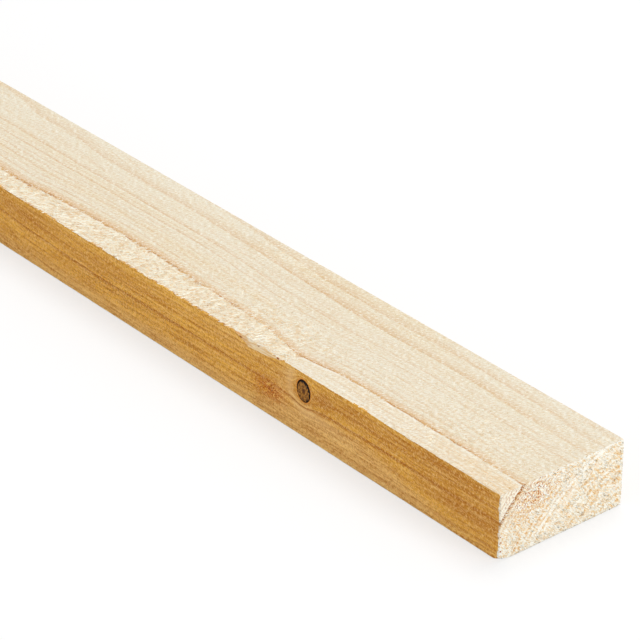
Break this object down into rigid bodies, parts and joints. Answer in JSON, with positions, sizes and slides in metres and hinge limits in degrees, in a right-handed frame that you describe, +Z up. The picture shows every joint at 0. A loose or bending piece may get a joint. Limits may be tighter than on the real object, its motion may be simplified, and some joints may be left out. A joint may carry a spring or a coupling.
{
  "type": "sawn timber plank",
  "caption": "Long straight plank of rough-sawn pale softwood with a tight dark knot and a torn arris beside it; general framing and carcassing stock.",
  "frame": {"origin": "middle of the broad face that the plank lies on, at the bottom centre of its bounding box", "axes": "+X along the length towards the end with the dubbed corners, +Y across the width away from the knotty edge, +Z up through the thickness"},
  "size_m": [2.4, 0.1, 0.047],
  "materials": {
    "softwood": "rough-sawn whitewood, untreated"
  },
  "bodies": {
    "root": {"plank": "softwood"}
  },
  "joints": []
}
